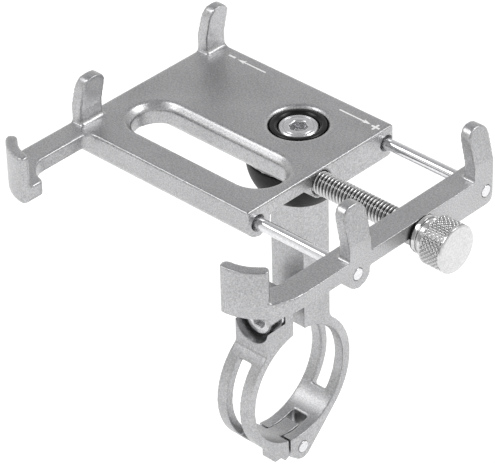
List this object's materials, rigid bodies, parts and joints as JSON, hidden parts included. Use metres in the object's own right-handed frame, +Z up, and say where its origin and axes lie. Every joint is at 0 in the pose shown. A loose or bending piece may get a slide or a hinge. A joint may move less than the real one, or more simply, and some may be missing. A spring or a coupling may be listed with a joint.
{
  "type": "phone handlebar mount",
  "caption": "Metal phone holder for a handlebar: slotted tray with grip tabs, screw-driven sliding jaw on guide rods, turning pivot and a hinged ring clamp closed by a socket screw.",
  "frame": {"origin": "centre of the handlebar clamp's bore, in the middle of its width", "axes": "+X along the handlebar, from the tray towards the sliding jaw's knob; +Z up from the handlebar through the pivot; the hook and claw point to -Y"},
  "size_m": [0.0993, 0.0779, 0.1082],
  "materials": {
    "cast_aluminium": "bead-blasted and clear anodised, satin",
    "ground_steel": "ground and polished",
    "plated_steel": "bright nickel plated",
    "screw_steel": "stainless, turned",
    "black_nylon": "moulded, satin",
    "dark_cup": "moulded, matt"
  },
  "bodies": {
    "base": {"clamp_base": "cast_aluminium", "hinge_pin": "ground_steel", "pivot_cup": "dark_cup", "pivot_bushing": "black_nylon", "pivot_spring_washer": "screw_steel", "pivot_bolt": "screw_steel"},
    "cradle": {"tray": "cast_aluminium"},
    "jaw": {"sliding_jaw": "cast_aluminium", "guide_rod_front": "ground_steel", "guide_rod_back": "ground_steel", "knob_washer": "black_nylon"},
    "thumbscrew": {"lead_screw": "plated_steel", "thumb_knob": "plated_steel", "retaining_clip": "screw_steel"},
    "arm": {"clamp_arm": "cast_aluminium"},
    "bolt_washer": {"clamp_washer": "screw_steel"},
    "bolt": {"clamp_bolt": "screw_steel"}
  },
  "joints": [
    {"name": "cradle_turn", "type": "hinge", "parent": "base", "child": "cradle", "pos_m": [0, 0.0066, 0.0714], "axis": [0, 0, 1], "continuous": true},
    {"name": "jaw_slide", "type": "slide", "parent": "cradle", "child": "jaw", "axis": [1, 0, 0], "range_m": [-0.0225, 0.02]},
    {"name": "screw_turn", "type": "hinge", "parent": "jaw", "child": "thumbscrew", "pos_m": [0.048, -0.00405, 0.0671], "axis": [1, 0, 0], "range_deg": [-8110, 7210]},
    {"name": "arm_hinge", "type": "hinge", "parent": "base", "child": "arm", "pos_m": [0, 0.0008, -0.0202], "axis": [1, 0, 0], "range_deg": [-2.5, 100]},
    {"name": "bolt_slide", "type": "slide", "parent": "arm", "child": "bolt_washer", "axis": [0, -1, 0], "range_m": [0, 0.0064]},
    {"name": "bolt_turn", "type": "hinge", "parent": "bolt_washer", "child": "bolt", "pos_m": [0, -0.0056, 0.0221], "axis": [0, -1, 0], "range_deg": [-2, 2890]}
  ],
  "couplings": [
    {"joint": "screw_turn", "follows": "jaw_slide", "rad_per_m": 6283.2},
    {"joint": "bolt_turn", "follows": "bolt_slide", "rad_per_m": 7854}
  ]
}
